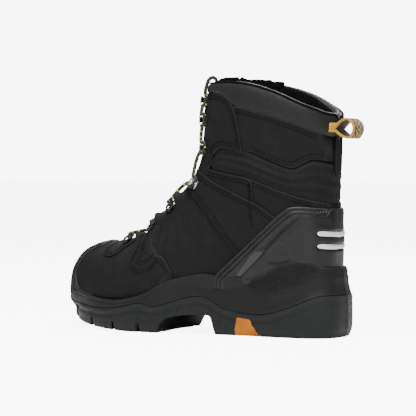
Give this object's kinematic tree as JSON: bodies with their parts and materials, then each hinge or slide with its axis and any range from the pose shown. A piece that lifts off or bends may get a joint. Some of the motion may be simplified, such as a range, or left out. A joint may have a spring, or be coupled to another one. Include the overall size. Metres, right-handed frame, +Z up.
{
  "type": "steel toe work boot",
  "caption": "Ankle-high black leather safety boot with a steel toe cap, laced through rings and speed hooks, cushioned lugged sole and heel pull loop; left foot.",
  "frame": {"origin": "centre of the bounding box's base, on the ground under the sole", "axes": "+X towards the toe, +Y towards the boot's left (outer) side, +Z up"},
  "size_m": [0.3222, 0.1092, 0.255],
  "materials": {
    "black_nubuck": "matte brushed leather with a fine grain",
    "collar_synthetic": "soft satin synthetic, slightly lighter than the leather",
    "mesh_textile": "black spacer mesh",
    "midsole_polyurethane": "matte moulded polyurethane",
    "outsole_rubber": "matte moulded rubber",
    "counter_tpu": "satin moulded TPU",
    "orange_insert": "satin translucent orange polyurethane",
    "toe_steel": "pressed steel",
    "gunmetal": "gunmetal plated steel",
    "bright_steel": "bright nickel plated steel",
    "reflective_silver": "silver retro-reflective film",
    "fibre_board": "pressed fibre board",
    "soft_foam": "foam with a textile face",
    "lace_braid": "round black braid with yellow tracer flecks",
    "aglet_plastic": "black plastic",
    "loop_webbing": "woven golden yellow and black webbing"
  },
  "bodies": {
    "boot": {"vamp": "black_nubuck", "quarter_left": "black_nubuck", "quarter_right": "black_nubuck", "rear_quarter_left": "black_nubuck", "rear_quarter_right": "black_nubuck", "ankle_strap_left": "black_nubuck", "ankle_strap_right": "black_nubuck", "rear_ankle_panel": "black_nubuck", "ankle_flex_left": "black_nubuck", "ankle_flex_right": "black_nubuck", "eyestay_left": "black_nubuck", "eyestay_right": "black_nubuck", "upper_collar_panel": "black_nubuck", "lace_tab": "black_nubuck", "back_tab": "black_nubuck", "collar_pad": "collar_synthetic", "steel_toe_cap": "toe_steel", "steel_shank": "toe_steel", "heel_stiffener": "fibre_board", "insole_board": "fibre_board", "collar_foam": "soft_foam", "lining": "mesh_textile", "outsole": "outsole_rubber", "heel_shock_insert": "orange_insert", "midsole": "midsole_polyurethane", "toe_bumper": "midsole_polyurethane", "heel_counter": "counter_tpu", "reflective_strip_upper": "reflective_silver", "reflective_strip_lower": "reflective_silver", "pull_loop_anchor": "loop_webbing", "lace_ring_left_1": "gunmetal", "lace_ring_right_1": "gunmetal", "lace_ring_left_2": "gunmetal", "lace_ring_right_2": "gunmetal", "lace_ring_left_3": "gunmetal", "lace_ring_right_3": "gunmetal", "lace_hook_left_1": "bright_steel", "lace_hook_right_1": "bright_steel", "lace_hook_left_2": "gunmetal", "lace_hook_right_2": "gunmetal", "lace_hook_left_3": "gunmetal", "lace_hook_right_3": "gunmetal", "lace_hook_left_4": "gunmetal", "lace_hook_right_4": "gunmetal", "lace": "lace_braid", "aglet_left": "aglet_plastic", "aglet_right": "aglet_plastic"},
    "tongue": {"tongue": "mesh_textile"},
    "pull_loop": {"pull_loop": "loop_webbing"},
    "footbed": {"footbed": "soft_foam"}
  },
  "joints": [
    {"name": "tongue_lean", "type": "hinge", "parent": "boot", "child": "tongue", "pos_m": [0.1031, 0.0004, 0.079], "axis": [0, -1, 0], "range_deg": [0, 5], "stiffness_Nm_per_rad": 2.5, "springref_deg": -4.58},
    {"name": "pull_loop_swing", "type": "hinge", "parent": "boot", "child": "pull_loop", "pos_m": [-0.1394, 0.0054, 0.201], "axis": [0, 1, 0], "range_deg": [-35, 35], "stiffness_Nm_per_rad": 0.03},
    {"name": "footbed_lift", "type": "hinge", "parent": "boot", "child": "footbed", "pos_m": [0.1441, -0.0076, 0.033], "axis": [0, 1, 0], "range_deg": [0, 4]}
  ]
}
